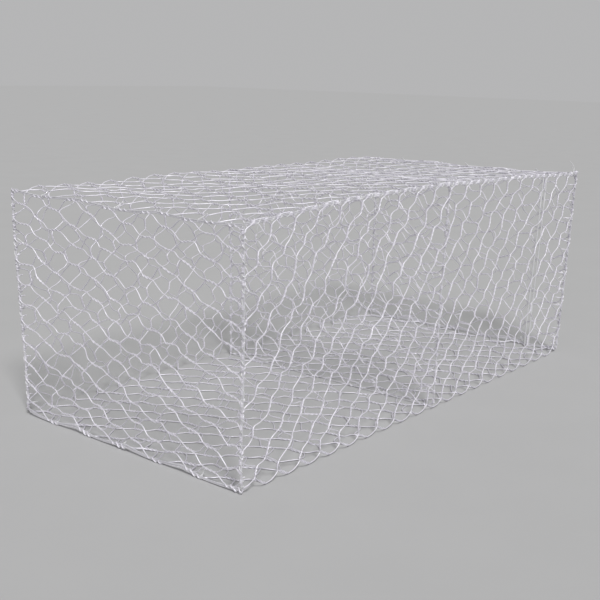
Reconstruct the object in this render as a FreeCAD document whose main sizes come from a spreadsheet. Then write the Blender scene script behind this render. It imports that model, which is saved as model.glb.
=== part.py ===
import FreeCAD, Part
import math
import os

# Gabion basket: an empty box of double-twist hexagonal wire mesh with its lid laced down.
# +X runs along the basket, +Y from the laced front to the folded back, +Z up.
# The origin is on the ground under the middle of the basket.

# Driving dimensions, in millimetres; twist_share is the part of a mesh row that is twisted.
DIMENSIONS = [
    ("basket_length", 2000.0),
    ("basket_width", 1000.0),
    ("basket_height", 750.0),
    ("mesh_thickness", 3.6),
    ("strand_width", 3.2),
    ("twist_width", 5.6),
    ("twist_share", 0.45),
    ("edge_wire_diameter", 3.6),
    ("selvedge_bend", 6.0),
    ("lacing_wire", 2.2),
    ("lacing_rise", 3.0),
    ("lacing_lead", 13.2),
    ("lacing_tail", 50.0),
    ("hanging_tail", 28.0),
    ("clearance", 0.3),
]

# The sheet's rows run from fold to fold, so each fold bends the middle of a row of twists.
SHEET_COLUMNS = 12
SHEET_ROWS = 6
END_COLUMNS = 4
END_ROWS = 6
WIRE_FLATS = 12
LACING_FLATS = 4

X_AXIS = FreeCAD.Vector(1, 0, 0)
Y_AXIS = FreeCAD.Vector(0, 1, 0)
Z_AXIS = FreeCAD.Vector(0, 0, 1)

os.makedirs("parts", exist_ok=True)
doc = FreeCAD.newDocument("GabionBasket")

sheet = doc.addObject("Spreadsheet::Sheet", "Sizes")
for row_number, (alias, value) in enumerate(DIMENSIONS, start=1):
    sheet.set(f"A{row_number}", alias)
    sheet.set(f"B{row_number}", str(value))
    sheet.setAlias(f"B{row_number}", alias)
doc.recompute()


def size(alias):
    return float(sheet.get(alias))


# Places that several pieces share
half_length = size("basket_length") / 2
half_width = size("basket_width") / 2
height = size("basket_height")
thickness = size("mesh_thickness")
wire_radius = size("edge_wire_diameter") / 2
clearance = size("clearance")
lacing_half = size("lacing_wire") / 2

wire_pitch = 2 * wire_radius + clearance
wire_seat = wire_radius + clearance
side_x = half_length - thickness / 2
selvedge_inset = thickness + wire_seat
frame_inset = selvedge_inset + wire_pitch
bend_start = selvedge_inset + size("selvedge_bend")
frame_start = bend_start + wire_pitch * (math.sqrt(2) - 1)

lid_wire_z = height - thickness / 2
front_wire_z = lid_wire_z - wire_pitch
front_wire_y = -half_width + thickness / 2
front_top = front_wire_z - wire_seat
lid_front = front_wire_y + wire_seat
lid_depth = half_width - lid_front

nodes = []


def keep(feature, label):
    feature.Label = label
    nodes.append(feature)
    return feature


# Double-twist mesh

def gap_outline(cell, row):
    """Corners of one six-sided gap about its centre, with the twists along Y."""
    twist_half = size("twist_share") * row / 2
    slant_rise = row - 2 * twist_half
    slant_run = cell / 2
    slant_length = math.hypot(slant_rise, slant_run)
    side = slant_run - size("twist_width") / 2
    tip = twist_half + slant_rise - size("strand_width") / 2 * slant_length / slant_run
    shoulder = tip - slant_rise * side / slant_run
    return [(side, -shoulder), (side, shoulder), (0, tip),
            (-side, shoulder), (-side, -shoulder), (0, -tip)]


def mesh_face(across, along, columns, rows):
    """A flat field of mesh in XY: whole and half gaps cut from a rectangle."""
    cell = (across - size("twist_width")) / columns
    row = along / rows
    outline = gap_outline(cell, row)
    gaps = []
    for row_index in range(rows + 1):
        odd = row_index % 2
        first = size("twist_width") / 2 + (0 if odd else cell / 2)
        for column in range(columns + odd):
            centre = FreeCAD.Vector(first + column * cell, row_index * row, 0)
            corners = [centre + FreeCAD.Vector(x, y, 0) for x, y in outline]
            gaps.append(Part.Face(Part.makePolygon(corners + corners[:1])))
    return Part.makePlane(across, along).cut(gaps)


def mesh_panel(name, across, along, columns, rows, place):
    """The field of mesh given its thickness and set in its place."""
    field = doc.addObject("Part::Feature", name + "_field")
    field.Shape = mesh_face(across, along, columns, rows)
    panel = doc.addObject("Part::Extrusion", name)
    panel.Base = field
    panel.DirMode = "Custom"
    panel.Dir = Z_AXIS
    panel.Solid = True
    panel.setExpression("LengthFwd", "Sizes.mesh_thickness")
    panel.Placement = place
    return panel


def upright_along_x(y):
    """Mesh that stands on its lower edge, twists upright, its inner face at y."""
    return FreeCAD.Placement(FreeCAD.Vector(-half_length, y, 0), FreeCAD.Rotation(X_AXIS, 90))


def upright_along_y(x, y, z):
    """Mesh that stands across the basket, twists level, its inner face at x."""
    return FreeCAD.Placement(FreeCAD.Vector(x, y, z), FreeCAD.Rotation(Y_AXIS, -90))


def flat_at(y, z):
    return FreeCAD.Placement(FreeCAD.Vector(-half_length, y, z), FreeCAD.Rotation())


def trimmed(name, side, flat_side):
    """A standing side cut where the flat side's twists pass under or over it at the fold."""
    cut = doc.addObject("Part::Cut", name)
    cut.Base = side
    cut.Tool = flat_side
    return cut


# The sheet is one length of mesh folded at three edges: its sides meet face to face there
full_length = 2 * half_length
base_side = mesh_panel("base_side", full_length, 2 * half_width, SHEET_COLUMNS, SHEET_ROWS,
                       flat_at(-half_width, 0))
lid_side = mesh_panel("lid_side", full_length, lid_depth, SHEET_COLUMNS, SHEET_ROWS,
                      flat_at(lid_front, height - thickness))
front_side = mesh_panel("front_side", full_length, front_top, SHEET_COLUMNS, SHEET_ROWS,
                        upright_along_x(thickness - half_width))
back_side = mesh_panel("back_side", full_length, height, SHEET_COLUMNS, SHEET_ROWS,
                       upright_along_x(half_width))
keep(base_side, "base_mesh")
keep(lid_side, "lid_mesh")
keep(trimmed("front_trimmed", front_side, base_side), "front_mesh")
keep(trimmed("back_trimmed", trimmed("back_above_base", back_side, base_side), lid_side), "back_mesh")

# The two ends stand inside the sheet's side edges
end_low = frame_inset + wire_seat
end_rise = height - 2 * end_low
end_reach = half_width - frame_inset - wire_seat
for name, inner_x in (("end_left_mesh", thickness - half_length), ("end_right_mesh", half_length)):
    keep(mesh_panel(name, end_rise, 2 * end_reach, END_COLUMNS, END_ROWS,
                    upright_along_y(inner_x, -end_reach, end_low)), name)

# The diaphragm stands across the middle and parts the two cells
diaphragm_low = selvedge_inset + wire_seat
diaphragm_rise = height - 2 * diaphragm_low
diaphragm_reach = half_width - selvedge_inset - wire_seat
keep(mesh_panel("diaphragm_mesh", diaphragm_rise, 2 * diaphragm_reach, END_COLUMNS, END_ROWS,
                upright_along_y(thickness / 2, -diaphragm_reach, diaphragm_low)), "diaphragm_mesh")


# Edge wires

def straight_wire(name, start, direction, length_text):
    """A wire whose length is an expression on the sheet, its round section as flats."""
    wire = doc.addObject("Part::Prism", name)
    wire.Polygon = WIRE_FLATS
    wire.setExpression("Circumradius", "Sizes.edge_wire_diameter / 2")
    wire.setExpression("Height", length_text)
    wire.Placement = FreeCAD.Placement(FreeCAD.Vector(*start), FreeCAD.Rotation(Z_AXIS, direction))
    keep(wire, name)


for name, y, z in (("front_top_edge_wire", front_wire_y, front_wire_z),
                   ("lid_front_edge_wire", front_wire_y, lid_wire_z)):
    straight_wire(name, (-half_length, y, z), X_AXIS, "Sizes.basket_length")

FRAME_START_TEXT = ("(Sizes.mesh_thickness + Sizes.clearance + Sizes.edge_wire_diameter / 2"
                    " + Sizes.selvedge_bend"
                    " + (Sizes.edge_wire_diameter + Sizes.clearance) * (sqrt(2) - 1))")
LEVEL_END_TEXT = f"Sizes.basket_width - 2 * {FRAME_START_TEXT}"
UPRIGHT_END_TEXT = f"Sizes.basket_height - 2 * {FRAME_START_TEXT}"
for end, x in (("end_left", -side_x), ("end_right", side_x)):
    for side, z in (("bottom", frame_inset), ("top", height - frame_inset)):
        straight_wire(f"{end}_{side}_wire", (x, frame_start - half_width, z), Y_AXIS, LEVEL_END_TEXT)
    for side, y in (("front", frame_inset - half_width), ("back", half_width - frame_inset)):
        straight_wire(f"{end}_{side}_wire", (x, y, frame_start), Z_AXIS, UPRIGHT_END_TEXT)

LEVEL_DIAPHRAGM_TEXT = "Sizes.basket_width - 2 * (Sizes.mesh_thickness + Sizes.clearance)"
UPRIGHT_DIAPHRAGM_TEXT = ("Sizes.basket_height - 2 * (Sizes.mesh_thickness + 2 * Sizes.clearance"
                          " + Sizes.edge_wire_diameter)")
for side, z in (("bottom", selvedge_inset), ("top", height - selvedge_inset)):
    straight_wire(f"diaphragm_{side}_wire", (0, thickness + clearance - half_width, z), Y_AXIS,
                  LEVEL_DIAPHRAGM_TEXT)
for side, y in (("front", selvedge_inset - half_width), ("back", half_width - selvedge_inset)):
    straight_wire(f"diaphragm_{side}_wire", (0, y, selvedge_inset + wire_seat), Z_AXIS,
                  UPRIGHT_DIAPHRAGM_TEXT)


# Bent wire: straight runs mitred where they turn, with a few flats for the round section

def corner_directions(points, closed):
    """The directions of the runs before and after each point."""
    count = len(points)
    pairs = []
    for index, point in enumerate(points):
        before = point - points[index - 1] if closed or index > 0 else None
        after = points[(index + 1) % count] - point if closed or index < count - 1 else None
        before = before or after
        after = after or before
        pairs.append((before.normalize(), after.normalize()))
    return pairs


def bent_wire(points, side_hint, corner_radius, flats, closed=False):
    """A solid wire along straight runs, with one flat of its section towards side_hint."""
    directions = corner_directions(points, closed)
    along = directions[0][1]
    first = (side_hint - along * side_hint.dot(along)).normalize()
    second = along.cross(first)
    angles = [(number + 0.5) * 2 * math.pi / flats for number in range(flats)]
    corners = [points[0] + first * (corner_radius * math.cos(angle))
               + second * (corner_radius * math.sin(angle)) for angle in angles]
    rings = []
    for point, (before, after) in zip(points, directions):
        normal = before + after
        travel = after if not rings else before
        corners = [corner + travel * ((point - corner).dot(normal) / travel.dot(normal))
                   for corner in corners]
        rings.append(corners)
    if closed:
        rings.append(rings[0])
    faces = []
    for start, end in zip(rings, rings[1:]):
        for index in range(flats):
            after = (index + 1) % flats
            quad = [start[index], start[after], end[after], end[index], start[index]]
            faces.append(Part.Face(Part.makePolygon(quad)))
    if not closed:
        for ring in (rings[0], rings[-1]):
            faces.append(Part.Face(Part.makePolygon(ring + ring[:1])))
    solid = Part.Solid(Part.Shell(faces))
    if solid.Volume < 0:
        solid.reverse()
    return solid


def selvedge_wire(name, x):
    """The wire that follows the sheet's side edge round its three folds."""
    near = half_width - selvedge_inset
    high = height - selvedge_inset
    low = selvedge_inset
    bend = size("selvedge_bend")
    route = [(-near, high - bend), (-near, low + bend), (bend - near, low), (near - bend, low),
             (near, low + bend), (near, high - bend), (near - bend, high), (bend - near, high)]
    feature = doc.addObject("Part::Feature", name)
    feature.Shape = bent_wire([FreeCAD.Vector(x, y, z) for y, z in route], X_AXIS, wire_radius,
                              WIRE_FLATS)
    keep(feature, name)


selvedge_wire("sheet_left_selvedge_wire", -side_x)
selvedge_wire("sheet_right_selvedge_wire", side_x)

# A lacing loop lies round two edge wires side by side, and its section may turn as it climbs
lacing_corner = lacing_half * math.sqrt(2)
loop_side = wire_seat + lacing_corner
loop_end = loop_side + wire_pitch / 2


def lacing(name, centre, run, outward, stops, start_tail, end_tail):
    """A wire that runs along a pair of edge wires and loops once round both at each stop."""
    pair = run.cross(outward)
    loop = [(loop_side, -loop_end), (loop_side, loop_end),
            (-loop_side, loop_end), (-loop_side, -loop_end)]
    rise = size("lacing_rise")
    points = []
    for stop in stops:
        for index in range(len(loop) + 1):
            out, across = loop[index % len(loop)]
            advance = stop + rise * index / len(loop)
            points.append(centre + outward * out + pair * across + run * advance)
    points.insert(0, points[0] - run * size("lacing_lead"))
    points.append(points[-1] + run * size("lacing_lead"))
    if start_tail:
        points.insert(0, points[0] + start_tail)
    if end_tail:
        points.append(points[-1] + end_tail)
    feature = doc.addObject("Part::Feature", name)
    feature.Shape = bent_wire(points, outward, lacing_corner, LACING_FLATS)
    keep(feature, name)


def ties(name, outline, centres, first_axis, second_axis):
    """Closed rings of the same outline, one at each centre."""
    rings = []
    for centre in centres:
        points = [centre + first_axis * a + second_axis * b for a, b in outline]
        rings.append(bent_wire(points, first_axis.cross(second_axis), lacing_corner, LACING_FLATS,
                               closed=True))
    feature = doc.addObject("Part::Feature", name)
    feature.Shape = Part.makeCompound(rings)
    keep(feature, name)


# Loops sit in the open half gaps at the sheet's edges, two in each, clear of the strands
LOOP_SHARE = 0.4
COLUMN_SHARE = 0.25
cell_length = (full_length - size("twist_width")) / SHEET_COLUMNS

front_row = front_top / SHEET_ROWS
back_row = height / SHEET_ROWS
open_rows = range(1, SHEET_ROWS, 2)
for corner, x_sign, y_sign, row in (("front_left", -1, -1, front_row), ("front_right", 1, -1, front_row),
                                    ("back_left", -1, 1, back_row), ("back_right", 1, 1, back_row)):
    stops = [(index + share) * row for index in open_rows for share in (-LOOP_SHARE, LOOP_SHARE)]
    corner_y = y_sign * (half_width - selvedge_inset - wire_pitch / 2)
    lacing(f"corner_lacing_{corner}", FreeCAD.Vector(x_sign * side_x, corner_y, 0), Z_AXIS,
           X_AXIS * x_sign, stops, None, None)

lid_stops = [(column + 0.5 + share) * cell_length + size("twist_width") / 2 - half_length
             for column in range(SHEET_COLUMNS) for share in (-COLUMN_SHARE, COLUMN_SHARE)]
lacing("lid_front_lacing", FreeCAD.Vector(0, front_wire_y, (lid_wire_z + front_wire_z) / 2), X_AXIS,
       Y_AXIS * -1, lid_stops, Z_AXIS * -size("hanging_tail"), Z_AXIS * size("lacing_tail"))

# Ties round an end's level wire and the sheet's side wire next to it
tie_margin = clearance + lacing_half
pair_side = wire_radius + tie_margin
pair_end = pair_side + wire_pitch / 2
pair_outline = [(pair_side, -pair_end), (pair_side, pair_end),
                (-pair_side, pair_end), (-pair_side, -pair_end)]
base_row = 2 * half_width / SHEET_ROWS
lid_row = lid_depth / SHEET_ROWS
low_pair = selvedge_inset + wire_pitch / 2
for end, x in (("left", -side_x), ("right", side_x)):
    bottom_centres = [FreeCAD.Vector(x, index * base_row - half_width, low_pair) for index in open_rows]
    ties(f"end_{end}_bottom_ties", pair_outline, bottom_centres, X_AXIS, Z_AXIS)
    lid_centres = [FreeCAD.Vector(x, lid_front + index * lid_row, height - low_pair)
                   for index in open_rows]
    ties(f"lid_{end}_ties", pair_outline, lid_centres, X_AXIS, Z_AXIS)

# Ties round the diaphragm's edge wires and the sheet's middle twists
tie_side = size("twist_width") / 2 + tie_margin
upright_depth = thickness + clearance + 2 * wire_radius
upright_outline = [(tie_side, -tie_margin), (tie_side, upright_depth + tie_margin),
                   (-tie_side, upright_depth + tie_margin), (-tie_side, -tie_margin)]
closed_rows = range(2, SHEET_ROWS, 2)
half_twist = size("twist_share") * front_row / 2
front_heights = [index * front_row for index in closed_rows] + [front_top - half_twist / 2]
back_heights = [index * back_row for index in closed_rows]
ties("diaphragm_front_ties", upright_outline,
     [FreeCAD.Vector(0, -half_width, z) for z in front_heights], X_AXIS, Y_AXIS)
ties("diaphragm_back_ties", upright_outline,
     [FreeCAD.Vector(0, half_width, z) for z in back_heights], X_AXIS, Y_AXIS * -1)

lid_depth_held = diaphragm_low + size("twist_width")
lid_outline = [(tie_side, -tie_margin), (tie_side, lid_depth_held + tie_margin),
               (-tie_side, lid_depth_held + tie_margin), (-tie_side, -tie_margin)]
ties("lid_diaphragm_ties", lid_outline,
     [FreeCAD.Vector(0, lid_front + index * lid_row, height) for index in closed_rows],
     X_AXIS, Z_AXIS * -1)

# Nothing is written unless every object is sound
doc.recompute()
for item in doc.Objects:
    if "Invalid" in item.State or "Error" in item.State:
        raise RuntimeError(f"{item.Label} did not compute: {item.State}")
for node in nodes:
    if node.Shape.isNull() or not node.Shape.isValid():
        raise RuntimeError(f"{node.Label} is not a valid shape")
for node in nodes:
    node.Shape.exportStep(os.path.join("parts", node.Label + ".step"))
    print(f"{node.Label}: {len(node.Shape.Solids)} solids, {node.Shape.Volume / 1000:.1f} cm3")
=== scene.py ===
# %% [markdown]
# # A gabion basket
# A gabion basket is a box of woven wire mesh that stands empty until it is filled with stones.
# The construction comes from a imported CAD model, the frame. There each side is a flat web with
# a few large gaps. This script weaves the real mesh, wire by wire, in the places that the frame
# gives, and dresses every edge with its wire, its wound mesh ends and its lacing.

# %% Load the frame
import math

import bpy
import numpy as np
from mathutils import Matrix, Vector


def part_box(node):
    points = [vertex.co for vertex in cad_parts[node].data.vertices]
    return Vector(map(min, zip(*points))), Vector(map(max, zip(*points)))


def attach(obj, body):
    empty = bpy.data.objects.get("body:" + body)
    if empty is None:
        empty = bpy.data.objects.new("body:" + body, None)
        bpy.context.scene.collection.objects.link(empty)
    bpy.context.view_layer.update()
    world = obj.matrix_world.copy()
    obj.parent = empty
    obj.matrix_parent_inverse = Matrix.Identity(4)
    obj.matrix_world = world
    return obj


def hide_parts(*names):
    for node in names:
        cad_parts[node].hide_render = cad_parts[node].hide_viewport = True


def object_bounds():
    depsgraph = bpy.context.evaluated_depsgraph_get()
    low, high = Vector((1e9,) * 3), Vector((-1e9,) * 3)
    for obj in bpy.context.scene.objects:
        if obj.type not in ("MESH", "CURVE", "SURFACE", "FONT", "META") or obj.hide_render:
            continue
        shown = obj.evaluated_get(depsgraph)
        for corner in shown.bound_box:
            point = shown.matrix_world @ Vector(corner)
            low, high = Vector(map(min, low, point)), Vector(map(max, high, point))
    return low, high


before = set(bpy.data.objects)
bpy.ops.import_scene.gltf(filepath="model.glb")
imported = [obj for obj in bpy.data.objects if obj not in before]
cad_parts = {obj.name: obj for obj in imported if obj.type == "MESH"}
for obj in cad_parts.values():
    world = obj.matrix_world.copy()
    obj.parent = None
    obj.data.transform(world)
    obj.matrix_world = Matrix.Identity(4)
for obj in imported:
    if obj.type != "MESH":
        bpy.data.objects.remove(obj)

cad_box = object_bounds()
print("CAD box:", [round(v, 4) for corner in cad_box for v in corner])

# %% [markdown]
# ## Sizes
# The mesh is made by twisting neighbouring wires together, three half turns at a time, and the
# sizes below are the ones a mesh maker would quote. The CAD model puts every wire's axis on a
# few shared planes, and those are repeated here.

# %% Sizes of the basket and its wires, in metres
HALF_WIDTH = 0.5
HEIGHT = 0.75
MESH_WIRE_RADIUS = 0.0019
EDGE_WIRE_RADIUS = 0.0018
LACING_RADIUS = 0.0011
END_MESH_X = 0.9982
SHEET_Y = 0.4982
LID_Z = 0.7482
FRONT_WIRE_Z = 0.7443
BASE_Z = 0.0038
SELVEDGE_INSET = 0.0057
END_WIRE_INSET = 0.0096
TWIST_SHARE = 0.5
SHEET_COLUMNS = 20
END_COLUMNS = 11

# %% [markdown]
# ## Small tools
# Materials and Geometry Nodes trees are both made of nodes, so one helper adds a node to either
# kind of tree. A small class wraps a socket and overloads the operators, so that maths on a
# socket reads as a plain expression and the Math nodes appear by themselves.

# %% One way to add a node, and sockets that can be calculated with
def add_node(tree, kind, settings=None, values=None):
    """Adds a node, then its settings, then the values or links of its sockets."""
    made = tree.nodes.new(kind)
    for name, value in (settings or {}).items():
        setattr(made, name, value)
    for name, value in (values or {}).items():
        if isinstance(value, Field):
            tree.links.new(value.socket, made.inputs[name])
        else:
            made.inputs[name].default_value = value
    return made


class Field:
    """A socket whose sums and products add Math nodes to its tree."""

    def __init__(self, tree, socket):
        self.tree, self.socket = tree, socket

    def maths(self, operation, *values):
        inputs = dict(enumerate(values))
        made = add_node(self.tree, "ShaderNodeMath", {"operation": operation}, inputs)
        return Field(self.tree, made.outputs[0])

    def __add__(self, other):
        return self.maths("ADD", self, other)

    def __radd__(self, other):
        return self.maths("ADD", other, self)

    def __sub__(self, other):
        return self.maths("SUBTRACT", self, other)

    def __rsub__(self, other):
        return self.maths("SUBTRACT", other, self)

    def __mul__(self, other):
        return self.maths("MULTIPLY", self, other)

    def __rmul__(self, other):
        return self.maths("MULTIPLY", other, self)

    def __truediv__(self, other):
        return self.maths("DIVIDE", self, other)

    def __mod__(self, other):
        return self.maths("FLOORED_MODULO", self, other)

    def __abs__(self):
        return self.maths("ABSOLUTE", self)

    def __gt__(self, other):
        return self.maths("GREATER_THAN", self, other)

    def __lt__(self, other):
        return self.maths("LESS_THAN", self, other)

    def at_most(self, other):
        return self.maths("MINIMUM", self, other)

    def at_least(self, other):
        return self.maths("MAXIMUM", self, other)

    def rounded(self):
        return self.maths("ROUND", self)

    def cosine(self):
        return self.maths("COSINE", self)

    def sine(self):
        return self.maths("SINE", self)

    def root(self):
        return self.maths("SQRT", self)

    def eased(self):
        """0 to 1 with a soft start and a soft end."""
        held = self.at_least(0.0).at_most(1.0)
        return held * held * (3.0 - 2.0 * held)


# %% [markdown]
# ## Geometry Nodes trees as tools
# Each tree here starts from nothing but its named inputs, ends in a real mesh with its material
# set, and is then turned into a plain mesh object. The object that carried the modifier is thrown
# away, so nothing is left to evaluate.

# %% Helpers that open a tree, fill its inputs and bake its result
def new_tree(name, inputs):
    """An empty Geometry Nodes tree and its inputs as Fields; inputs are (name, kind, value)."""
    tree = bpy.data.node_groups.new(name, "GeometryNodeTree")
    tree.interface.new_socket("Geometry", in_out="INPUT", socket_type="NodeSocketGeometry")
    for title, kind, value in inputs:
        socket = tree.interface.new_socket(title, in_out="INPUT", socket_type=kind)
        if value is not None:
            socket.default_value = value
    tree.interface.new_socket("Geometry", in_out="OUTPUT", socket_type="NodeSocketGeometry")
    entry = tree.nodes.new("NodeGroupInput")
    return tree, {socket.name: Field(tree, socket) for socket in entry.outputs if socket.name}


def close_tree(tree, wires, radius, sides, material):
    """Gives the wires their round section and material and sends them out of the tree."""
    ring = add_node(tree, "GeometryNodeCurvePrimitiveCircle", {"mode": "RADIUS"},
                    {"Resolution": sides, "Radius": radius})
    solid = add_node(tree, "GeometryNodeCurveToMesh", None,
                     {"Curve": wires, "Profile Curve": Field(tree, ring.outputs["Curve"]),
                      "Fill Caps": True})
    smooth = add_node(tree, "GeometryNodeSetShadeSmooth", None,
                      {"Geometry": Field(tree, solid.outputs["Mesh"])})
    real = add_node(tree, "GeometryNodeRealizeInstances", None,
                    {"Geometry": Field(tree, smooth.outputs[0])})
    painted = add_node(tree, "GeometryNodeSetMaterial", None,
                       {"Geometry": Field(tree, real.outputs[0]), "Material": material})
    out = tree.nodes.new("NodeGroupOutput")
    tree.links.new(painted.outputs[0], out.inputs[0])


def bake(name, tree, values, start=None):
    """Runs a tree with the given inputs and returns its result as a plain mesh object."""
    start = start or bpy.data.meshes.new(name + "_start")
    carrier = bpy.data.objects.new(name + "_carrier", start)
    bpy.context.scene.collection.objects.link(carrier)
    modifier = carrier.modifiers.new("Weave", "NODES")
    modifier.node_group = tree
    for socket in tree.interface.items_tree:
        if socket.in_out == "INPUT" and socket.name in values:
            modifier[socket.identifier] = values[socket.name]
    evaluated = carrier.evaluated_get(bpy.context.evaluated_depsgraph_get())
    mesh = bpy.data.meshes.new_from_object(evaluated)
    bpy.data.objects.remove(carrier)
    piece = bpy.data.objects.new(name, mesh)
    bpy.context.scene.collection.objects.link(piece)
    return piece


# %% [markdown]
# ## Galvanised wire
# New galvanised wire is bright but not mirror-like: the zinc freezes in small crystals, so its
# colour and gloss change every few millimetres, and it dulls in larger clouds where it weathers.
# Two noises in object coordinates give both scales, and a faint bump breaks up the highlights.

# %% One material for each kind of wire
def galvanised(name, bright, dull, gloss):
    """Zinc-coated wire; bright and dull are its two colours, gloss its lowest roughness."""
    material = bpy.data.materials.new(name)
    material.use_nodes = True
    tree = material.node_tree
    tree.nodes.clear()
    place = Field(tree, tree.nodes.new("ShaderNodeTexCoord").outputs["Object"])
    crystals = add_node(tree, "ShaderNodeTexNoise", None,
                        {"Vector": place, "Scale": 260.0, "Detail": 2.0, "Roughness": 0.6})
    clouds = add_node(tree, "ShaderNodeTexNoise", None,
                      {"Vector": place, "Scale": 9.0, "Detail": 3.0, "Roughness": 0.55})
    crystal = Field(tree, crystals.outputs["Fac"])
    cloud = Field(tree, clouds.outputs["Fac"])
    dulled = ((cloud - 0.5) * 1.6 + (crystal - 0.5) * 1.2 + 0.45).at_least(0.0).at_most(1.0)
    colour = add_node(tree, "ShaderNodeMix", {"data_type": "RGBA"}, {"Factor": dulled})
    colour.inputs["A"].default_value = (*bright, 1.0)
    colour.inputs["B"].default_value = (*dull, 1.0)
    bump = add_node(tree, "ShaderNodeBump", None,
                    {"Strength": 0.25, "Distance": 0.0004, "Height": crystal})
    shader = add_node(tree, "ShaderNodeBsdfPrincipled", None,
                      {"Roughness": gloss + dulled * 0.22, "Metallic": 0.3,
                       "Normal": Field(tree, bump.outputs["Normal"])})
    tree.links.new(colour.outputs["Result"], shader.inputs["Base Color"])
    out = tree.nodes.new("ShaderNodeOutputMaterial")
    tree.links.new(shader.outputs[0], out.inputs["Surface"])
    return material


MESH_ZINC = galvanised("mesh_wire_zinc", (0.91, 0.89, 0.95), (0.70, 0.68, 0.75), 0.36)
EDGE_ZINC = galvanised("edge_wire_zinc", (0.86, 0.85, 0.89), (0.64, 0.63, 0.67), 0.38)
LACING_ZINC = galvanised("lacing_wire_zinc", (0.94, 0.94, 0.95), (0.76, 0.76, 0.78), 0.32)
print("materials:", MESH_ZINC.name, EDGE_ZINC.name, LACING_ZINC.name)

# %% [markdown]
# ## The mesh, woven wire by wire
# In double-twist mesh every wire meets its neighbour on one side, turns round it three half
# turns, and so comes out on the other side, where it meets the next wire. Half of the wires
# drift to the left and half to the right, and at the mesh's edge each goes round the edge wire
# and back. One field therefore places every wire: a straight line is resampled, copied once for
# each wire, and each point is moved by where it is along the line and which wire it is on. That
# keeps the wires whole, where copies of a finished cell would leave a seam in every strand.

# %% How far a step of the loom has brought the mesh
LOOM_SHARE = 0.58
STEPS_PER_ROW = 16


def loom_step(row):
    """Twists get more points than the slanting strands, so a row's place becomes a step."""
    near = round(row)
    off = abs(row - near)
    half_twist = TWIST_SHARE / 2
    step = (min(off, half_twist) * LOOM_SHARE / TWIST_SHARE
            + max(0.0, off - half_twist) * (1 - LOOM_SHARE) / (1 - TWIST_SHARE))
    return near + math.copysign(step, row - near)


# %% The loom: a Geometry Nodes tree that weaves one flat side
FLOAT, COUNT = "NodeSocketFloat", "NodeSocketInt"
loom, ask = new_tree("double_twist_mesh", [
    ("Wires", COUNT, 40), ("Steps", COUNT, 180), ("Columns", FLOAT, 20.0),
    ("First step", FLOAT, 0.5), ("Last step", FLOAT, 12.5),
    ("First row", FLOAT, 0.5), ("Last row", FLOAT, 12.5),
    ("Width", FLOAT, 2.0), ("Length", FLOAT, 0.74),
    ("Wire radius", FLOAT, MESH_WIRE_RADIUS), ("Edge wire radius", FLOAT, EDGE_WIRE_RADIUS),
    ("Fold at start", FLOAT, 0.0), ("Fold at end", FLOAT, 0.0),
    ("Rise at start", FLOAT, 0.0), ("Rise at end", FLOAT, 0.0),
    ("Selvedge inset", FLOAT, 0.0), ("Unevenness", FLOAT, 0.075), ("Seed", FLOAT, 1.0),
    ("Lean", FLOAT, -0.05), ("Scallop", FLOAT, 0.0),
    ("Sides", COUNT, 6), ("Material", "NodeSocketMaterial", None)])

order = Field(loom, loom.nodes.new("GeometryNodeInputIndex").outputs[0])
spread = add_node(loom, "ShaderNodeCombineXYZ", None, {"X": order})
starts = add_node(loom, "GeometryNodePoints", None,
                  {"Count": ask["Wires"], "Position": Field(loom, spread.outputs[0])})
strand = add_node(loom, "GeometryNodeCurvePrimitiveLine", {"mode": "POINTS"},
                  {"Start": (0.0, 0.0, 0.0), "End": (0.0, 1.0, 0.0)})
stepped = add_node(loom, "GeometryNodeResampleCurve", {"mode": "COUNT"},
                   {"Curve": Field(loom, strand.outputs[0]), "Count": ask["Steps"]})
copies = add_node(loom, "GeometryNodeInstanceOnPoints", None,
                  {"Points": Field(loom, starts.outputs[0]),
                   "Instance": Field(loom, stepped.outputs[0])})
warp = add_node(loom, "GeometryNodeRealizeInstances", None,
                {"Geometry": Field(loom, copies.outputs[0])})
place = add_node(loom, "ShaderNodeSeparateXYZ", None,
                 {"Vector": Field(loom, loom.nodes.new("GeometryNodeInputPosition").outputs[0])})
wire_number = Field(loom, place.outputs["X"]).rounded()
travelled = Field(loom, place.outputs["Y"])

# %% [markdown]
# The next cell is the weave itself. A wire's place across the mesh is counted in cells on a track
# twice as long as the mesh is wide, and folding that track in the middle sends the wire back.

# %% Where each point lies in the flat mesh
EDGE_TURNS, MIDDLE_TURNS = 4.0, 3.0  # half turns of a twist at the mesh's edge and elsewhere
CORNER_EASE = 0.4  # how softly a strand bends out of its twist

step = ask["First step"] + travelled * (ask["Last step"] - ask["First step"])
row = step.rounded()
past = step - row
side = (past > 0.0) * 2.0 - 1.0
inner = abs(past).at_most(LOOM_SHARE / 2) * (TWIST_SHARE / LOOM_SHARE)
outer = (abs(past) - LOOM_SHARE / 2).at_least(0.0) * ((1 - TWIST_SHARE) / (1 - LOOM_SHARE))
off_row = inner + outer
slant = (off_row - TWIST_SHARE / 2).at_least(0.0) / ((1 - TWIST_SHARE) / 2)
eased_slant = ((slant * slant + CORNER_EASE ** 2).root() - CORNER_EASE) / (
    math.sqrt(1 + CORNER_EASE ** 2) - CORNER_EASE)
columns = ask["Columns"]
twist_place = wire_number + 0.5 + row * 0.5
rows_left = ask["Last row"] - row - side * off_row
drop = (1.0 - rows_left / (1 - TWIST_SHARE)).at_least(0.0).at_most(1.0)
bow = ask["Scallop"] * (1.0 - (1.0 - drop * drop).root() - drop) * 0.5
track = (twist_place + side * eased_slant * 0.25 + bow) % (columns * 2.0)
cell_place = columns - abs(columns - track)
from_left = ((twist_place - 0.25) % (columns * 2.0)) < columns
at_edge = abs((twist_place % columns) - columns * 0.5) > (columns * 0.5 - 0.1)
turned = (side * off_row / TWIST_SHARE + 0.5).at_least(0.0).at_most(1.0)
angle = (from_left + (at_edge * (EDGE_TURNS - MIDDLE_TURNS) + MIDDLE_TURNS) * turned) * math.pi
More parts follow.
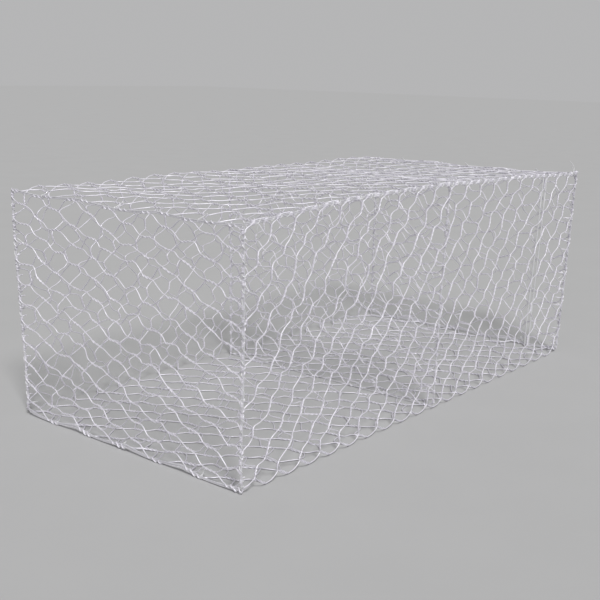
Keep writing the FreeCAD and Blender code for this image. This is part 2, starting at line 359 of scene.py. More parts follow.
reach = (ask["Wire radius"] + at_edge * ask["Edge wire radius"]) * (1.0 - slant)
across = cell_place / columns * ask["Width"] + reach * angle.cosine()
along = ((row + side * off_row - ask["First row"]) / (ask["Last row"] - ask["First row"])
         * ask["Length"])
lifted = reach * angle.sine()

# %% [markdown]
# Real mesh is springy and never even: the cells differ in size and every strand is a little
# wavy. A slow noise moves whole cells and a quick one bends strands, and both fade out towards
# the edges, so that the mesh still meets its edge wires and the next side at a fold. The twists
# also lean to one side, as they do on the real basket, where that makes one diagonal of every
# side read as long unbroken chains.

# %% Uneven cells, edge seats and folds
SLOW_NOISE, QUICK_NOISE, WAVE_SHARE = 7.5, 20.0, 0.13
FREE_FROM, SEAT_REACH, OVER_EDGE = 0.07, 0.03, 0.02
to_side = across.at_most(ask["Width"] - across)
to_end = along.at_most(ask["Length"] - along)
free = (to_side / FREE_FROM).eased() * (to_end / FREE_FROM).eased()
spot = add_node(loom, "ShaderNodeCombineXYZ", None, {"X": across, "Y": along, "Z": ask["Seed"]})


def shift(scale):
    """The three parts of a noise around zero at this spot of the mesh."""
    noise = add_node(loom, "ShaderNodeTexNoise", {"noise_dimensions": "3D"},
                     {"Vector": Field(loom, spot.outputs[0]), "Scale": scale, "Detail": 1.0})
    parts = add_node(loom, "ShaderNodeSeparateXYZ", None,
                     {"Vector": Field(loom, noise.outputs["Color"])})
    return [Field(loom, output) - 0.5 for output in parts.outputs]


slow, quick = shift(SLOW_NOISE), shift(QUICK_NOISE)
amount = ask["Unevenness"] * free
lean = side * ((off_row * (2 / TWIST_SHARE)).at_most(1.0) - slant) * ask["Lean"]
across = (across + lean * free * ask["Width"] / columns
          + amount * (slow[0] + quick[0] * WAVE_SHARE))
along = along + amount * (slow[1] + quick[1] * WAVE_SHARE)
lifted = (lifted + amount * quick[2] * WAVE_SHARE
          - ask["Selvedge inset"] * (1.0 - (to_side / SEAT_REACH).eased())
          + ask["Rise at start"] * (1.0 - (along / OVER_EDGE).eased())
          + ask["Rise at end"] * (1.0 - ((ask["Length"] - along) / OVER_EDGE).eased()))


def fold(distance, radius):
    """How far round the fold a point is, from an eighth of a turn down to nothing."""
    held = radius.at_least(1e-6)
    return (math.pi / 4 - distance / held).at_least(0.0) * (radius > 0.0)


bend_start = fold(along, ask["Fold at start"])
bend_end = fold(ask["Length"] - along, ask["Fold at end"])
arc_start = ask["Fold at start"] * (math.pi / 4)
arc_end = ask["Fold at end"] * (math.pi / 4)
straight = (along - arc_start).at_least(0.0).at_most(ask["Length"] - arc_start - arc_end)
forward = (ask["Fold at start"] * (1.0 - bend_start.sine()) + straight
           + ask["Fold at end"] * bend_end.sine()
           + lifted * (bend_end.sine() - bend_start.sine()))
inward = (ask["Fold at start"] * (1.0 - bend_start.cosine())
          + ask["Fold at end"] * (1.0 - bend_end.cosine())
          - lifted * bend_start.cosine() * bend_end.cosine())
woven_place = add_node(loom, "ShaderNodeCombineXYZ", None,
                       {"X": across - ask["Width"] * 0.5, "Y": forward, "Z": inward})
woven = add_node(loom, "GeometryNodeSetPosition", None,
                 {"Geometry": Field(loom, warp.outputs[0]),
                  "Position": Field(loom, woven_place.outputs[0])})
close_tree(loom, Field(loom, woven.outputs[0]), ask["Wire radius"], ask["Sides"], ask["Material"])
print("loom nodes:", len(loom.nodes))

# %% [markdown]
# ## How the finished basket has settled
# An empty basket is not stiff. Its feet and the middles of its sides draw in a little, and the
# laced edge of the lid springs up between its ties. One smooth movement of every point does that
# for all the pieces together, so that whatever touches before still touches after. Last, nothing
# may leave the box of the CAD model, so the few points that would are held at its sides.

# %% The settling, applied to every finished mesh
# How far the lid's front edge springs up, in metres, at places along it
LID_RISE = [(-1.0, 0.0), (-0.75, 0.014), (-0.4, 0.036), (-0.05, 0.027), (0.45, 0.022), (1.0, 0.0)]
RISE_BLUR = (-0.12, -0.06, 0.0, 0.06, 0.12)
# How far the ends and the long sides draw in: at the feet, at mid-height, and in ripples
END_FEET, END_BELLY, END_RIPPLE = 0.020, 0.010, 0.002
SIDE_FEET, SIDE_BELLY, SIDE_RIPPLE = 0.018, 0.012, 0.003
# Small lifts and sags, in metres
LID_RIPPLE, LID_SLUMP, TOP_SAG, FOOT_ARC, ARC_SPREAD = 0.004, 0.010, 0.009, 0.003, 0.012
CAD_LOW, CAD_HIGH = (np.array(corner) for corner in cad_box)


def ease(values):
    held = np.clip(values, 0.0, 1.0)
    return held * held * (3.0 - 2.0 * held)


def lid_rise(x):
    places, rises = zip(*LID_RISE)
    return sum(np.interp(x + step, places, rises) for step in RISE_BLUR) / len(RISE_BLUR)


def settle(mesh):
    """Moves a mesh's points as the whole basket has moved."""
    points = np.empty(len(mesh.vertices) * 3, dtype=np.float32)
    mesh.vertices.foreach_get("co", points)
    x, y, z = points.reshape(-1, 3).astype(float).T
    up = np.clip(z / HEIGHT, 0.0, 1.0)
    belly = np.sin(np.pi * up)
    across_end = np.cos(np.pi * np.clip(y, -0.5, 0.5))
    ends_in = (END_BELLY * belly * across_end + END_FEET * (1 - up)
               + END_RIPPLE * np.sin(7 * y + 5 * z) ** 2)
    cells = np.sin(np.pi * np.clip(np.abs(x), 0.0, 1.0)) ** 2
    sides_in = (SIDE_BELLY * belly * cells + SIDE_FEET * (1 - up)
                + SIDE_RIPPLE * np.sin(5 * x + 4 * z) ** 2 * ease(z / 0.1))
    rise = lid_rise(x) * ease((z - 0.42) / 0.33) * ease((0.42 - y) / 0.92)
    lid_wave = (LID_RIPPLE * np.sin(9 * x + 3 * y) * np.sin(6 * y - 2 * x + 1.0)
                - LID_SLUMP * cells * across_end) * ease((z - 0.6) / 0.15)
    at_end = ease((np.abs(x) - 0.9) / 0.08)
    foot_arcs = ((FOOT_ARC + np.clip(z, 0.0, ARC_SPREAD))
                 * (1 - np.abs(np.sin(4 * np.pi * (y + 0.5)))) * ease((0.09 - z) / 0.08))
    top_sags = TOP_SAG * np.abs(np.sin(3 * np.pi * (y + 0.5))) * ease((z - 0.62) / 0.12)
    lifts = rise + lid_wave + at_end * (foot_arcs - top_sags)
    points = np.stack([x * (1 - ends_in), y * (1 - 2 * sides_in), z + lifts], axis=1)
    points = np.clip(points, CAD_LOW, CAD_HIGH)
    mesh.vertices.foreach_set("co", points.astype(np.float32).ravel())
    mesh.update()


made = []


def finish_piece(piece, slot, *nodes):
    """Settles a piece, lets it ride and hides the frame nodes that it stands for; its finish,
    slot, is not used.
    """
    settle(piece.data)
    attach(piece, "root")
    if nodes:
        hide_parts(*nodes)
    made.append(piece)
    piece.data.calc_loop_triangles()
    print(piece.name, len(piece.data.loop_triangles), "triangles")


# %% [markdown]
# ## Front, base, back and lid
# These four sides are one length of mesh, folded three times. The rows are numbered through all
# four, so each wire leaves one side where it enters the next. The folds fall just where the
# strands meet, and the strands bow on their way there. That gives the row of scallops along the
# ground in front, and the row of humps along the back of the lid.

# %% Weave the sheet and set its sides in place
def stand(origin, across_axis, along_axis):
    """The matrix that puts a flat side in its place."""
    first, second = Vector(across_axis), Vector(along_axis)
    turn = Matrix((first, second, first.cross(second))).transposed()
    return Matrix.Translation(origin) @ turn.to_4x4()


def weave(name, place, width, columns, length, rows, folds, rises, inset, seed, node, scallop=0.0):
    """Weaves one side; rows, folds and rises each give its start and its end."""
    first, last = rows
    steps = round((loom_step(last) - loom_step(first)) * STEPS_PER_ROW) + 1
    shortened = sum(radius * (1 - math.pi / 4) for radius in folds)
    piece = bake(name, loom, {
        "Wires": 2 * columns, "Steps": steps, "Columns": float(columns),
        "First step": loom_step(first), "Last step": loom_step(last),
        "First row": first, "Last row": last, "Width": width, "Length": length - shortened,
        "Fold at start": folds[0], "Fold at end": folds[1],
        "Rise at start": rises[0], "Rise at end": rises[1],
        "Selvedge inset": inset, "Seed": seed, "Scallop": scallop, "Material": MESH_ZINC})
    piece.data.transform(place)
    finish_piece(piece, "mesh_wire", node)


FOLD_RADIUS = 0.007
RISE = EDGE_WIRE_RADIUS + MESH_WIRE_RADIUS
STRANDS_MEET = 1 - TWIST_SHARE / 2
TOP_CUT, FRONT_FOOT, BACK_FOOT = 0.5, 12 + STRANDS_MEET, 24 + STRANDS_MEET
BACK_TOP, LID_CUT = 36 + STRANDS_MEET, 48.5
sheet_width = 2 * END_MESH_X
seat_inset = SELVEDGE_INSET - (HALF_WIDTH - SHEET_Y)
weave("front_woven", stand((0, -SHEET_Y, FRONT_WIRE_Z), (1, 0, 0), (0, 0, -1)), sheet_width,
      SHEET_COLUMNS, FRONT_WIRE_Z - BASE_Z, (TOP_CUT, FRONT_FOOT), (0.0, FOLD_RADIUS), (RISE, 0.0),
      seat_inset, 1.0, "front_mesh", scallop=0.8)
weave("base_woven", stand((0, -SHEET_Y, BASE_Z), (1, 0, 0), (0, 1, 0)), sheet_width,
      SHEET_COLUMNS, 2 * SHEET_Y, (FRONT_FOOT, BACK_FOOT), (FOLD_RADIUS, FOLD_RADIUS), (0.0, 0.0),
      SELVEDGE_INSET - BASE_Z, 2.0, "base_mesh")
weave("back_woven", stand((0, SHEET_Y, BASE_Z), (1, 0, 0), (0, 0, 1)), sheet_width,
      SHEET_COLUMNS, LID_Z - BASE_Z, (BACK_FOOT, BACK_TOP), (FOLD_RADIUS, FOLD_RADIUS), (0.0, 0.0),
      seat_inset, 3.0, "back_mesh", scallop=0.8)
weave("lid_woven", stand((0, SHEET_Y, LID_Z), (1, 0, 0), (0, -1, 0)), sheet_width,
      SHEET_COLUMNS, 2 * SHEET_Y, (BACK_TOP, LID_CUT), (FOLD_RADIUS, 0.0), (0.0, RISE),
      seat_inset, 4.0, "lid_mesh")

# %% [markdown]
# ## Ends and diaphragm
# These are separate pieces of the same mesh, set with the twists level. Their wires are cut at
# the upright edges, and they turn back round the wires at the top and bottom.

# %% Weave the two ends and the diaphragm
END_ROWS = (0.5, 12.5)
end_reach = HALF_WIDTH - END_WIRE_INSET
end_span = HEIGHT - 2 * END_WIRE_INSET
diaphragm_reach = HALF_WIDTH - SELVEDGE_INSET
diaphragm_span = HEIGHT - 2 * SELVEDGE_INSET
middle = HEIGHT / 2
weave("end_left_woven", stand((-END_MESH_X, -end_reach, middle), (0, 0, -1), (0, 1, 0)), end_span,
      END_COLUMNS, 2 * end_reach, END_ROWS, (0.0, 0.0), (RISE, RISE), 0.0, 5.0, "end_left_mesh")
weave("end_right_woven", stand((END_MESH_X, -end_reach, middle), (0, 0, 1), (0, 1, 0)), end_span,
      END_COLUMNS, 2 * end_reach, END_ROWS, (0.0, 0.0), (RISE, RISE), 0.0, 6.0, "end_right_mesh")
weave("diaphragm_woven", stand((0, -diaphragm_reach, middle), (0, 0, 1), (0, 1, 0)),
      diaphragm_span, END_COLUMNS, 2 * diaphragm_reach, END_ROWS, (0.0, 0.0), (RISE, RISE), 0.0,
      7.0, "diaphragm_mesh")

# %% [markdown]
# ## Edge wires
# A heavier wire stiffens every edge. Each starts as a line through its corners; the tree rounds
# the corners, gives the line the small bends of a wire that came off a coil, and makes it round.

# %% The tree that turns a line into a wire
bent, ask = new_tree("bent_wire", [
    ("Radius", FLOAT, EDGE_WIRE_RADIUS), ("Corner", FLOAT, 0.006), ("Step", FLOAT, 0.02),
    ("Waviness", FLOAT, 0.002), ("Sides", COUNT, 8), ("Material", "NodeSocketMaterial", None)])
line = add_node(bent, "GeometryNodeMeshToCurve", None, {"Mesh": ask["Geometry"]})
rounded = add_node(bent, "GeometryNodeFilletCurve", {"mode": "POLY"},
                   {"Curve": Field(bent, line.outputs[0]), "Count": 4, "Radius": ask["Corner"],
                    "Limit Radius": True})
even = add_node(bent, "GeometryNodeResampleCurve", {"mode": "LENGTH"},
                {"Curve": Field(bent, rounded.outputs[0]), "Length": ask["Step"]})
here = Field(bent, bent.nodes.new("GeometryNodeInputPosition").outputs[0])
wander = add_node(bent, "ShaderNodeTexNoise", {"noise_dimensions": "3D"},
                  {"Vector": here, "Scale": 9.0, "Detail": 1.0})
centred = add_node(bent, "ShaderNodeVectorMath", {"operation": "SUBTRACT"},
                   {0: Field(bent, wander.outputs["Color"]), 1: (0.5, 0.5, 0.5)})
scaled = add_node(bent, "ShaderNodeVectorMath", {"operation": "SCALE"},
                  {0: Field(bent, centred.outputs[0]), "Scale": ask["Waviness"]})
moved = add_node(bent, "GeometryNodeSetPosition", None,
                 {"Geometry": Field(bent, even.outputs[0]),
                  "Offset": Field(bent, scaled.outputs[0])})
close_tree(bent, Field(bent, moved.outputs[0]), ask["Radius"], ask["Sides"], ask["Material"])


def wire_piece(name, routes, values, slot, *nodes):
    """One piece made of wires along the given routes."""
    points = [tuple(point) for route in routes for point in route]
    edges, first = [], 0
    for route in routes:
        edges += [(first + n, first + n + 1) for n in range(len(route) - 1)]
        first += len(route)
    line_mesh = bpy.data.meshes.new(name + "_line")
    line_mesh.from_pydata(points, edges, [])
    piece = bake(name, bent, values, line_mesh)
    finish_piece(piece, slot, *nodes)


# %% Run a wire through every edge wire's place
EDGE_LOOK = {"Radius": EDGE_WIRE_RADIUS, "Waviness": 0.004, "Material": EDGE_ZINC}
straight_nodes = ["front_top_edge_wire", "lid_front_edge_wire"]
straight_nodes += [f"{panel}_{edge}_wire" for panel in ("end_left", "end_right", "diaphragm")
                   for edge in ("bottom", "top", "front", "back")]
for node in straight_nodes:
    low, high = (Vector(corner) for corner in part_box(node))
    centre = (low + high) / 2
    size = high - low
    axis = max(range(3), key=lambda n: size[n])
    start, end = centre.copy(), centre.copy()
    start[axis], end[axis] = low[axis], high[axis]
    wire_piece(node + "_drawn", [[start, end]], EDGE_LOOK, "edge_wire", node)

near, low_z, high_z = HALF_WIDTH - SELVEDGE_INSET, SELVEDGE_INSET, HEIGHT - SELVEDGE_INSET
ENDS_SHORT = 0.006
for side, x in (("left", -END_MESH_X), ("right", END_MESH_X)):
    node = f"sheet_{side}_selvedge_wire"
    route = [(x, -near, high_z - ENDS_SHORT), (x, -near, low_z), (x, near, low_z),
             (x, near, high_z), (x, ENDS_SHORT - near, high_z)]
    wire_piece(node + "_drawn", [route], EDGE_LOOK, "edge_wire", node)

# %% [markdown]
# The photograph also shows two thin straight wires that stand close together inside the far end,
# well behind its front corner. They run from the lid to the base, and are drawn thick enough to
# show.

# %% The two straight wires inside the right end
INNER_X, INNER_TOP_Z, INNER_RADIUS = END_MESH_X - 0.012, LID_Z - 0.006, 0.0030
inner_routes = [[(INNER_X, -0.372, INNER_TOP_Z), (INNER_X, -0.366, BASE_Z)],
                [(INNER_X, -0.358, INNER_TOP_Z), (INNER_X, -0.348, BASE_Z)]]
wire_piece("end_right_inner_wires_drawn", inner_routes,
           {"Radius": INNER_RADIUS, "Waviness": 0.001, "Material": LACING_ZINC}, "mesh_wire")

# %% [markdown]
# ## Wound mesh ends
# Where mesh is cut, each wire end is wound a few times round the edge wire. These coils are the
# bright, knotty look of the upright corners. One coil with its stray end is drawn once and copied
# along the edge. Each copy is turned by a random angle, so that no two strays lie alike, but all
# of them point into the basket.

# %% The tree that winds mesh ends round an edge
wound, ask = new_tree("wound_ends", [
    ("Count", COUNT, 40), ("Spacing", FLOAT, 0.05), ("First", FLOAT, 0.0),
    ("Wire radius", FLOAT, MESH_WIRE_RADIUS), ("Edge wire radius", FLOAT, EDGE_WIRE_RADIUS),
    ("Turns", FLOAT, 3.0), ("Stray reach", FLOAT, 0.012), ("Seed", COUNT, 1),
    ("Material", "NodeSocketMaterial", None)])
COIL_PITCH, STRAY_TURNS, STRAY_TILT, STRAY_SWING = 2.3, 0.15, 0.12, (0.34, 1.54)
coil_radius = ask["Wire radius"] + ask["Edge wire radius"]
coil_length = ask["Turns"] * ask["Wire radius"] * COIL_PITCH
coil = add_node(wound, "GeometryNodeCurveSpiral", None,
                {"Resolution": 9, "Rotations": ask["Turns"], "Start Radius": coil_radius,
                 "End Radius": coil_radius, "Height": coil_length})
stray = add_node(wound, "GeometryNodeCurveSpiral", None,
                 {"Resolution": 40, "Rotations": STRAY_TURNS, "Start Radius": coil_radius,
                  "End Radius": ask["Stray reach"], "Height": ask["Wire radius"] * 2.0})
stray_lift = add_node(wound, "ShaderNodeCombineXYZ", None, {"Z": coil_length})
stray_set = add_node(wound, "GeometryNodeTransform", None,
                     {"Geometry": Field(wound, stray.outputs[0]),
                      "Translation": Field(wound, stray_lift.outputs[0])})
both = wound.nodes.new("GeometryNodeJoinGeometry")
wound.links.new(coil.outputs[0], both.inputs[0])
wound.links.new(stray_set.outputs[0], both.inputs[0])
number = Field(wound, wound.nodes.new("GeometryNodeInputIndex").outputs[0])
spot = add_node(wound, "ShaderNodeCombineXYZ", None, {"Z": ask["First"] + number * ask["Spacing"]})
spots = add_node(wound, "GeometryNodePoints", None,
                 {"Count": ask["Count"], "Position": Field(wound, spot.outputs[0])})
chance = add_node(wound, "FunctionNodeRandomValue", {"data_type": "FLOAT_VECTOR"},
                  {"Seed": ask["Seed"]})
chance.inputs[0].default_value = (-STRAY_TILT, -STRAY_TILT, STRAY_SWING[0])
chance.inputs[1].default_value = (STRAY_TILT, STRAY_TILT, STRAY_SWING[1])
copies = add_node(wound, "GeometryNodeInstanceOnPoints", None,
                  {"Points": Field(wound, spots.outputs[0]),
                   "Instance": Field(wound, both.outputs[0]),
                   "Rotation": Field(wound, chance.outputs["Value"])})
close_tree(wound, Field(wound, copies.outputs[0]), ask["Wire radius"], 5, ask["Material"])


HALF_COIL = 0.004  # sets each coil in the middle of its step


def wind_ends(name, start, direction, inward, length, count, seed, stray_reach):
    """Winds the mesh ends that meet one edge wire; their strays point inward."""
    spacing = length / count
    piece = bake(name, wound, {
        "Count": count, "Spacing": spacing, "First": spacing / 2 - HALF_COIL,
        "Stray reach": stray_reach, "Seed": seed, "Material": MESH_ZINC})
    third = Vector(direction)
    first = Vector(inward).normalized()
    turn = Matrix((first, third.cross(first), third)).transposed().to_4x4()
    piece.data.transform(Matrix.Translation(start) @ turn)
    finish_piece(piece, "mesh_wire")


# %% Wind the ends on every cut edge
sheet_ends, panel_ends = 2 * SHEET_COLUMNS, 2 * END_COLUMNS
SHORT_STRAY, LONG_STRAY, UNTRIMMED = 0.008, 0.016, 0.032
wind_ends("front_top_wound_ends", (-END_MESH_X, -SHEET_Y, FRONT_WIRE_Z), (1, 0, 0), (0, 1, 0),
          sheet_width, sheet_ends, 11, SHORT_STRAY)
wind_ends("lid_front_wound_ends", (-END_MESH_X, -SHEET_Y, LID_Z), (1, 0, 0), (0, 0.8, 0.6),
          sheet_width, sheet_ends, 12, SHORT_STRAY)
for side, x in (("left", -END_MESH_X), ("right", END_MESH_X)):
    for edge, y in (("front", -end_reach), ("back", end_reach)):
        inward = Vector((-1.4 * x, -2 * y, 0))
        stray_reach = UNTRIMMED if (side, edge) == ("right", "front") else LONG_STRAY
        wind_ends(f"end_{side}_{edge}_wound_ends", (x, y, END_WIRE_INSET), (0, 0, 1), inward,
                  end_span, panel_ends, 13, stray_reach)
for edge, y in (("front", -diaphragm_reach), ("back", diaphragm_reach)):
    wind_ends(f"diaphragm_{edge}_wound_ends", (0, y, SELVEDGE_INSET), (0, 0, 1), (0.3, -y, 0),
              diaphragm_span, panel_ends, 17, SHORT_STRAY)

# %% [markdown]
# ## Lacing
# A thinner, softer wire laces each corner: it runs up the pair of edge wires and goes round both
# at every step. A stretched spiral is exactly that path, squeezed to an oval that fits the pair.

# %% The lacing tree and the five laced edges
lacing, ask = new_tree("lacing", [
    ("Length", FLOAT, 0.7), ("Turns", FLOAT, 18.0), ("Half across", FLOAT, 0.006),
    ("Half out", FLOAT, 0.004), ("Radius", FLOAT, LACING_RADIUS), ("Looseness", FLOAT, 0.002),
    ("Material", "NodeSocketMaterial", None)])
spiral = add_node(lacing, "GeometryNodeCurveSpiral", None,
                  {"Resolution": 12, "Rotations": ask["Turns"], "Start Radius": 1.0,
                   "End Radius": 1.0, "Height": ask["Length"]})
here = Field(lacing, lacing.nodes.new("GeometryNodeInputPosition").outputs[0])
place = add_node(lacing, "ShaderNodeSeparateXYZ", None, {"Vector": here})
run = Field(lacing, place.outputs["Z"])
tug = add_node(lacing, "ShaderNodeTexNoise", {"noise_dimensions": "1D"},
               {"W": run, "Scale": 31.0, "Detail": 1.0})
slack = 1.0 + (Field(lacing, tug.outputs["Fac"]) - 0.5) * 0.8 * ask["Looseness"] / 0.002
laid = add_node(lacing, "ShaderNodeCombineXYZ", None,
                {"X": Field(lacing, place.outputs["X"]) * ask["Half across"] * slack,
                 "Y": Field(lacing, place.outputs["Y"]) * ask["Half out"],
                 "Z": run + (Field(lacing, tug.outputs["Fac"]) - 0.5) * 0.03})
set_down = add_node(lacing, "GeometryNodeSetPosition", None,
                    {"Geometry": Field(lacing, spiral.outputs[0]),
                     "Position": Field(lacing, laid.outputs[0])})
close_tree(lacing, Field(lacing, set_down.outputs[0]), ask["Radius"], 5, ask["Material"])

corner_y = HALF_WIDTH - (SELVEDGE_INSET + END_WIRE_INSET) / 2
for side, x in (("left", -END_MESH_X), ("right", END_MESH_X)):
    for edge, y in (("front", -corner_y), ("back", corner_y)):
        name = f"corner_lacing_{edge}_{side}"
        piece = bake(name + "_drawn", lacing, {
            "Length": 0.66, "Turns": 17.0, "Half across": 0.0036, "Half out": 0.0054,
            "Material": LACING_ZINC})
        piece.data.transform(Matrix.Translation((x, y, 0.05)))
        finish_piece(piece, "lacing_wire", name)

lid_pair_z = (LID_Z + FRONT_WIRE_Z) / 2
piece = bake("lid_front_lacing_drawn", lacing, {
    "Length": 1.92, "Turns": 62.0, "Half across": 0.0056, "Half out": 0.0036,
    "Material": LACING_ZINC})
piece.data.transform(Matrix(((0, 0, 1, -0.96), (0, 1, 0, -SHEET_Y), (-1, 0, 0, lid_pair_z),
                             (0, 0, 0, 1))))
finish_piece(piece, "lacing_wire", "lid_front_lacing")

# %% [markdown]
# ## Ties and stray ends
# Short pieces of lacing wire hold the rest: a ring round two wires, its ends twisted together
# and left sticking out. The rings stand where the frame has them, so their places are read from
# each node's own mesh. A few long ends of the lacing are left uncut, as on the real basket.

# %% Rings, twisted tails and stray ends
RING_STEPS, STEPS_PER_TURN, RING_SLACK, RING_PITCH = 23, 18, 1.15, 2.4
TAIL_LENGTH, TAIL_TURNS, TAIL_STEPS, TWISTED_SHARE, TAIL_SPREAD = 0.026, 2.5, 14, 0.7, 5.0
RING_GAP = 0.05  # points of one node further apart than this belong to separate rings


def clusters(node):
    """The boxes of a node's separate rings."""
    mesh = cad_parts[node].data
    points = np.array([vertex.co for vertex in mesh.vertices])
    axis = int(np.argmax(points.max(axis=0) - points.min(axis=0)))
    points = points[np.argsort(points[:, axis])]
    cuts = np.nonzero(np.diff(points[:, axis]) > RING_GAP)[0] + 1
    return [(group.min(axis=0), group.max(axis=0)) for group in np.split(points, cuts)]


def tie_routes(low, high, tail, lean):
    """A ring one and a quarter times round its pair, then two ends twisted together."""
    centre, half = (low + high) / 2, (high - low) / 2 - LACING_RADIUS
    thin = int(np.argmin(half))
    first, second = [axis for axis in range(3) if axis != thin]
    ring = []
    for step in range(RING_STEPS):
        turn = 2 * math.pi * step / STEPS_PER_TURN + lean
        point = centre.copy()
        point[first] += half[first] * RING_SLACK * math.cos(turn)
        point[second] += half[second] * RING_SLACK * math.sin(turn)
        point[thin] += (step / (RING_STEPS - 1) - 0.5) * RING_PITCH * LACING_RADIUS
        ring.append(point)
    routes = [ring]
    out = np.array(tail, dtype=float)
    out /= np.linalg.norm(out)
    sideways = np.cross(out, (0.3, 0.2, 0.9))
    sideways /= np.linalg.norm(sideways)
    other = np.cross(out, sideways)
    root = centre + np.where(np.arange(3) == thin, 0.0, half) * np.sign(out)
    for phase in (0.0, math.pi):
        end = []
        for step in range(TAIL_STEPS):
            share = step / (TAIL_STEPS - 1)
            turn = phase + 2 * math.pi * TAIL_TURNS * min(share / TWISTED_SHARE, 1.0)
            spread = LACING_RADIUS * (1.0 + TAIL_SPREAD * max(0.0, share - TWISTED_SHARE))
            end.append(root + out * TAIL_LENGTH * share
                       + (sideways * math.cos(turn) + other * math.sin(turn)) * spread)
        routes.append(end)
    return routes


TIE_LOOK = {"Radius": LACING_RADIUS, "Corner": 0.0, "Step": 0.0024, "Waviness": 0.0008, "Sides": 5,
            "Material": LACING_ZINC}
tie_tails = {"end_left_bottom_ties": (0.3, -0.3, 1), "end_right_bottom_ties": (-0.3, 0.3, 1),
             "lid_left_ties": (0.6, -0.5, 0.5), "lid_right_ties": (-0.6, 0.3, 0.5),
             "diaphragm_front_ties": (0.5, 0.2, -0.8), "diaphragm_back_ties": (-0.5, -0.2, -0.8),
             "lid_diaphragm_ties": (0.5, -0.6, 0.4)}
for node, tail in tie_tails.items():
    routes = []
    for number, (low, high) in enumerate(clusters(node)):
        routes += tie_routes(low, high, tail, 0.9 * number)
    wire_piece(node + "_drawn", routes, TIE_LOOK, "lacing_wire", node)

# Extra knots where a length of corner lacing ended: which corner, and how high
CORNER_KNOTS = [
    (-1, -1, 0.012), (-1, -1, 0.030), (-1, -1, 0.115), (-1, -1, 0.275), (-1, -1, 0.610),
    (-1, 1, 0.035), (-1, 1, 0.360), (-1, 1, 0.590), (1, -1, 0.020), (1, -1, 0.060),
    (1, -1, 0.330), (1, -1, 0.560), (1, 1, 0.120), (1, 1, 0.500)]
KNOT_REACH = np.array([0.0045, 0.0070, 0.0020])
routes = []
for number, (x_side, y_side, z) in enumerate(CORNER_KNOTS):
    spot = np.array([x_side * (END_MESH_X - 0.001), y_side * corner_y, z])
    tail = (-0.6 * x_side, -0.7 * y_side, (0.5, -0.8, 0.2)[number % 3])
    routes += tie_routes(spot - KNOT_REACH, spot + KNOT_REACH, tail, 1.3 * number)
wire_piece("corner_knots", routes, TIE_LOOK, "lacing_wire")

# Long ends of lacing left uncut, each as the points that it passes
STRAY_ENDS = [
    [(0.955, -0.4982, 0.7500), (0.962, -0.497, 0.7680), (0.955, -0.490, 0.7850),
     (0.940, -0.484, 0.7960)],
    [(0.962, -0.497, 0.7560), (0.948, -0.492, 0.7700), (0.944, -0.494, 0.7800)],
    [(-0.950, -0.4990, 0.7400), (-0.952, -0.497, 0.7250), (-0.946, -0.494, 0.7080)],
    [(-0.9960, -0.4900, 0.2600), (-0.992, -0.479, 0.2450), (-0.994, -0.476, 0.2300)],
    [(-0.9960, 0.4900, 0.0900), (-0.990, 0.4960, 0.0800), (-0.992, 0.4990, 0.0650)],
]
wire_piece("stray_lacing_ends", STRAY_ENDS, {**TIE_LOOK, "Corner": 0.006, "Step": 0.004},
           "lacing_wire")
print("pieces:", len(made), "triangles:", sum(len(piece.data.loop_triangles) for piece in made))

# %% [markdown]
# ## Floor, light and camera
# The basket stands on a plain floor under soft light from behind the camera, high up. The floor is
# a light grey, a little darker than the zinc, because bright wires would vanish on a white one.

# %% Pale floor and sky
floor_material = bpy.data.materials.new("pale_floor")
floor_material.use_nodes = True
tree = floor_material.node_tree
tree.nodes.clear()
ground = Field(tree, tree.nodes.new("ShaderNodeTexCoord").outputs["Object"])
grain = add_node(tree, "ShaderNodeTexNoise", None, {"Vector": ground, "Scale": 3.0, "Detail": 4.0})
tint = add_node(tree, "ShaderNodeMix", {"data_type": "RGBA"},
                {"Factor": Field(tree, grain.outputs["Fac"])})
for socket, grey in (("A", 0.54), ("B", 0.57)):
    tint.inputs[socket].default_value = (grey, grey, grey, 1.0)
matt = add_node(tree, "ShaderNodeBsdfDiffuse")
tree.links.new(tint.outputs["Result"], matt.inputs["Color"])
tree.links.new(matt.outputs[0], tree.nodes.new("ShaderNodeOutputMaterial").inputs["Surface"])

floor_mesh = bpy.data.meshes.new("floor")
FLOOR_REACH = 40.0
floor_mesh.from_pydata([(-FLOOR_REACH, -FLOOR_REACH, 0), (FLOOR_REACH, -FLOOR_REACH, 0),
                        (FLOOR_REACH, FLOOR_REACH, 0), (-FLOOR_REACH, FLOOR_REACH, 0)], [],
                       [(0, 1, 2, 3)])
floor_mesh.materials.append(floor_material)
floor = bpy.data.objects.new("floor", floor_mesh)
bpy.context.scene.collection.objects.link(floor)

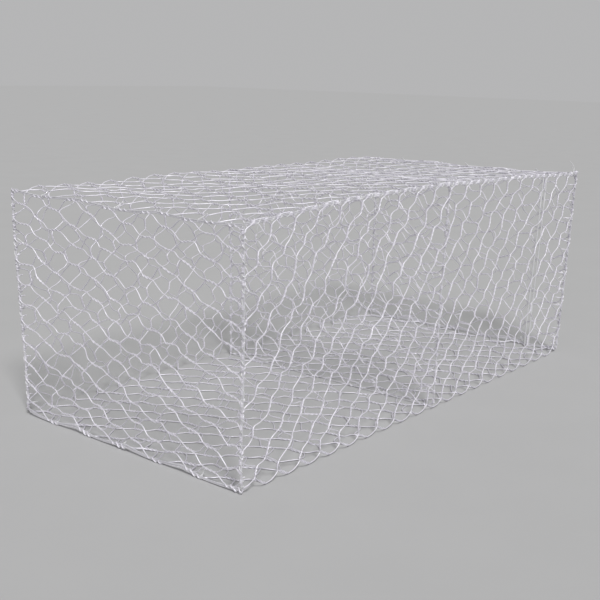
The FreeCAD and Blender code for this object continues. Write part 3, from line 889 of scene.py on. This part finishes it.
SKY_LIGHT, SKY_SHOWN = 0.27, 0.20
world = bpy.data.worlds.new("pale_sky")
world.use_nodes = True
tree = world.node_tree
tree.nodes.clear()
rays = tree.nodes.new("ShaderNodeLightPath")
camera_ray, glossy_ray, through_ray = (
    Field(tree, rays.outputs[f"Is {kind} Ray"]) for kind in ("Camera", "Glossy", "Transmission"))
strength = SKY_LIGHT + camera_ray.at_least(glossy_ray).at_least(through_ray) * SKY_SHOWN
sky = add_node(tree, "ShaderNodeBackground", None,
               {"Color": (0.99, 0.99, 1.0, 1.0), "Strength": strength})
tree.links.new(sky.outputs[0], tree.nodes.new("ShaderNodeOutputWorld").inputs["Surface"])
bpy.context.scene.world = world
print("floor:", floor.name, "sky:", world.name)

# %% One large soft lamp behind and above the camera
LAMP_STRENGTH, LAMP_ANGLE, LAMP_SHINES = 2.3, math.radians(12), Vector((0.45, 0.62, -0.85))
lamp = bpy.data.lights.new("soft_key", "SUN")
lamp.energy = LAMP_STRENGTH
lamp.angle = LAMP_ANGLE
key = bpy.data.objects.new("soft_key", lamp)
key.rotation_mode = "QUATERNION"
key.rotation_quaternion = LAMP_SHINES.to_track_quat("-Z", "Y")
bpy.context.scene.collection.objects.link(key)
print("lamp:", key.name, "strength", LAMP_STRENGTH)

# %% [markdown]
# ## Camera
# The place, turn and focal length come from fitting the box's corners to the photograph. The
# camera looks along the basket from its near left corner, a little above the lid.

# %% The camera
FRAME_PIXELS, FOCAL_PIXELS, SENSOR = 600.0, 998.1, 36.0
CAMERA_PLACE = Vector((-2.850, -2.170, 1.133))
YAW, PITCH, ROLL = (math.radians(angle) for angle in (38.85, -13.05, 1.37))
forward = Vector((math.cos(PITCH) * math.cos(YAW), math.cos(PITCH) * math.sin(YAW),
                  math.sin(PITCH)))
level_right = forward.cross(Vector((0, 0, 1))).normalized()
level_up = level_right.cross(forward)
right = level_right * math.cos(ROLL) + level_up * math.sin(ROLL)
up = right.cross(forward)
lens = bpy.data.cameras.new("camera")
lens.sensor_width = SENSOR
lens.lens = FOCAL_PIXELS / FRAME_PIXELS * SENSOR
camera = bpy.data.objects.new("camera", lens)
turn = Matrix((right, up, -forward)).transposed()
camera.matrix_world = Matrix.Translation(CAMERA_PLACE) @ turn.to_4x4()
bpy.context.scene.collection.objects.link(camera)
bpy.context.scene.camera = camera
bpy.context.scene.view_settings.view_transform = "Standard"
print("lens:", round(lens.lens, 1), "mm")
